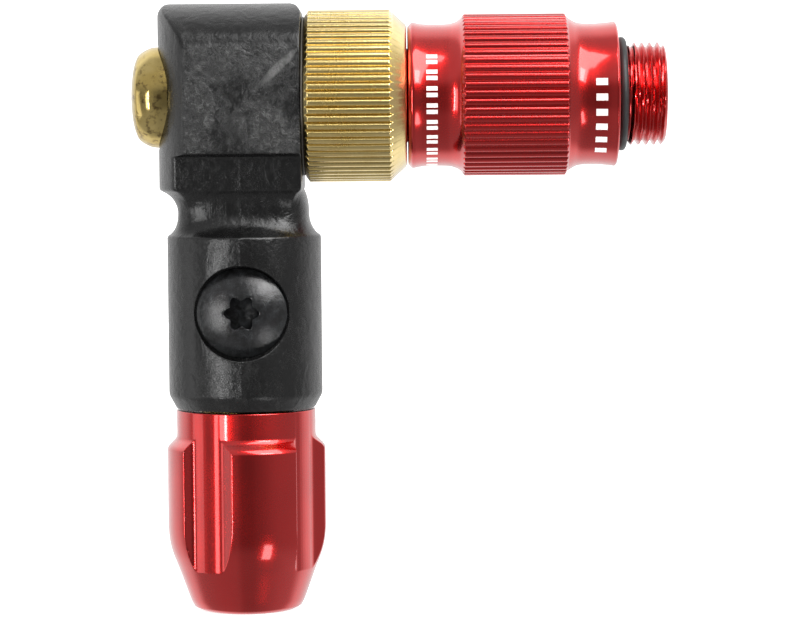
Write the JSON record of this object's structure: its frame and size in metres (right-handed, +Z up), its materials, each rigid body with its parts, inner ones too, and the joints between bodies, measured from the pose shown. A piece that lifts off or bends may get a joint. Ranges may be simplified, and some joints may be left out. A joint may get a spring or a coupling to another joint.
{
  "type": "bicycle pump head",
  "caption": "Elbow pump head with a knurled swivel chuck that reverses to fit another valve type, an air-release button and a four-groove hose nut.",
  "frame": {"origin": "centre of the hose opening, on the bottom face of the hose nut", "axes": "+Z up the barrel, +X along the spindle axis towards the valve, -Y the side with the lock screw"},
  "size_m": [0.0518, 0.0166, 0.0591],
  "materials": {
    "nylon": "satin glass-filled nylon",
    "brass": "turned and knurled, polished dome",
    "red_anodised": "red anodised, satin",
    "rubber": "moulded nitrile rubber",
    "black_steel": "black oxide",
    "steel": "bright drawn",
    "acetal": "natural acetal"
  },
  "bodies": {
    "elbow": {"elbow_body": "nylon", "hose_barb": "brass", "barb_o_ring": "rubber", "lock_screw": "black_steel", "thrust_washer": "acetal"},
    "swivel": {"swivel_collar": "brass", "swivel_spindle": "brass", "spindle_o_ring_left": "rubber", "spindle_o_ring_right": "rubber", "retaining_clip": "steel", "bleed_spring": "steel"},
    "button": {"bleed_button": "brass", "bleed_stem": "steel", "poppet_seal": "rubber"},
    "chuck_carrier": {"inner_chuck_o_ring": "rubber"},
    "chuck": {"flip_chuck": "red_anodised", "outer_chuck_o_ring": "rubber", "schrader_seal": "rubber", "core_pin": "steel", "presta_seal": "rubber"},
    "nut_carrier": {"ferrule": "acetal"},
    "nut": {"hose_nut": "red_anodised"}
  },
  "joints": [
    {"name": "swivel_turn", "type": "hinge", "parent": "elbow", "child": "swivel", "pos_m": [0, 0, 0.05], "axis": [1, 0, 0], "continuous": true},
    {"name": "button_press", "type": "slide", "parent": "swivel", "child": "button", "axis": [1, 0, 0], "range_m": [0, 0.0012], "stiffness_N_per_m": 600, "springref_m": -0.0015, "deforming": ["bleed_spring"]},
    {"name": "chuck_slide", "type": "slide", "parent": "swivel", "child": "chuck_carrier", "axis": [1, 0, 0], "range_m": [0, 0.00526]},
    {"name": "chuck_turn", "type": "hinge", "parent": "chuck_carrier", "child": "chuck", "pos_m": [0, 0, 0.05], "axis": [1, 0, 0], "range_deg": [0, 2520]},
    {"name": "nut_slide", "type": "slide", "parent": "elbow", "child": "nut_carrier", "axis": [0, 0, -1], "range_m": [0, 0.00601]},
    {"name": "nut_turn", "type": "hinge", "parent": "nut_carrier", "child": "nut", "pos_m": [0, 0, 0], "axis": [0, 0, -1], "range_deg": [0, 2880]}
  ],
  "couplings": [
    {"joint": "chuck_slide", "follows": "chuck_turn", "m_per_rad": 0.00011937},
    {"joint": "nut_slide", "follows": "nut_turn", "m_per_rad": 0.00011937}
  ]
}
